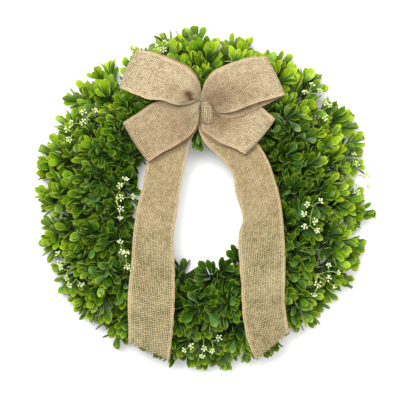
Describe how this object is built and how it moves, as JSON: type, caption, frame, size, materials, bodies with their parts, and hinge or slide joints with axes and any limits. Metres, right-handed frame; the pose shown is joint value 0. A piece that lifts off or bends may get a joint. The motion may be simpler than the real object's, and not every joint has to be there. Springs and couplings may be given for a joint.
{
  "type": "artificial boxwood wreath",
  "caption": "Round artificial boxwood wreath of leafy and flowering sprays on a vine ring, with a burlap bow and two long tails over its hole.",
  "frame": {"origin": "middle of the wreath's bounding box seen from the front, on the plane that its back rests on", "axes": "+Z out of the wreath's front, towards the viewer; +Y towards the bow, the top when it hangs; +X to the viewer's right"},
  "size_m": [0.4928, 0.4962, 0.1213],
  "materials": {
    "vine": "rough bark",
    "leaf": "soft satin",
    "flower": "matte",
    "burlap": "coarse plain weave",
    "wire": "green floral wire"
  },
  "bodies": {
    "root": {"bow_knot": "burlap", "bow_loop_lower_left": "burlap", "bow_loop_lower_right": "burlap", "bow_loop_upper_left": "burlap", "bow_loop_upper_right": "burlap", "bow_tail_left": "burlap", "bow_tail_right": "burlap", "bow_wire": "wire", "flower_spray_01": "flower", "flower_spray_02": "flower", "flower_spray_03": "flower", "flower_spray_04": "flower", "flower_spray_05": "flower", "flower_spray_06": "flower", "flower_spray_07": "flower", "flower_spray_08": "flower", "flower_spray_09": "flower", "flower_spray_10": "flower", "spray_front_01": "leaf", "spray_front_02": "leaf", "spray_front_03": "leaf", "spray_front_04": "leaf", "spray_front_05": "leaf", "spray_front_06": "leaf", "spray_front_07": "leaf", "spray_front_08": "leaf", "spray_hole_01": "leaf", "spray_hole_02": "leaf", "spray_hole_03": "leaf", "spray_hole_04": "leaf", "spray_hole_05": "leaf", "spray_hole_06": "leaf", "spray_hole_07": "leaf", "spray_hole_08": "leaf", "spray_inner_01": "leaf", "spray_inner_02": "leaf", "spray_inner_03": "leaf", "spray_inner_04": "leaf", "spray_inner_05": "leaf", "spray_inner_06": "leaf", "spray_outer_01": "leaf", "spray_outer_02": "leaf", "spray_outer_03": "leaf", "spray_outer_04": "leaf", "spray_outer_05": "leaf", "spray_outer_06": "leaf", "spray_outer_07": "leaf", "spray_outer_08": "leaf", "spray_rim_01": "leaf", "spray_rim_02": "leaf", "spray_rim_03": "leaf", "spray_rim_04": "leaf", "spray_rim_05": "leaf", "spray_rim_06": "leaf", "spray_rim_07": "leaf", "spray_rim_08": "leaf", "spray_rim_09": "leaf", "vine_rod_1": "vine", "vine_rod_2": "vine", "vine_rod_3": "vine"}
  },
  "joints": []
}
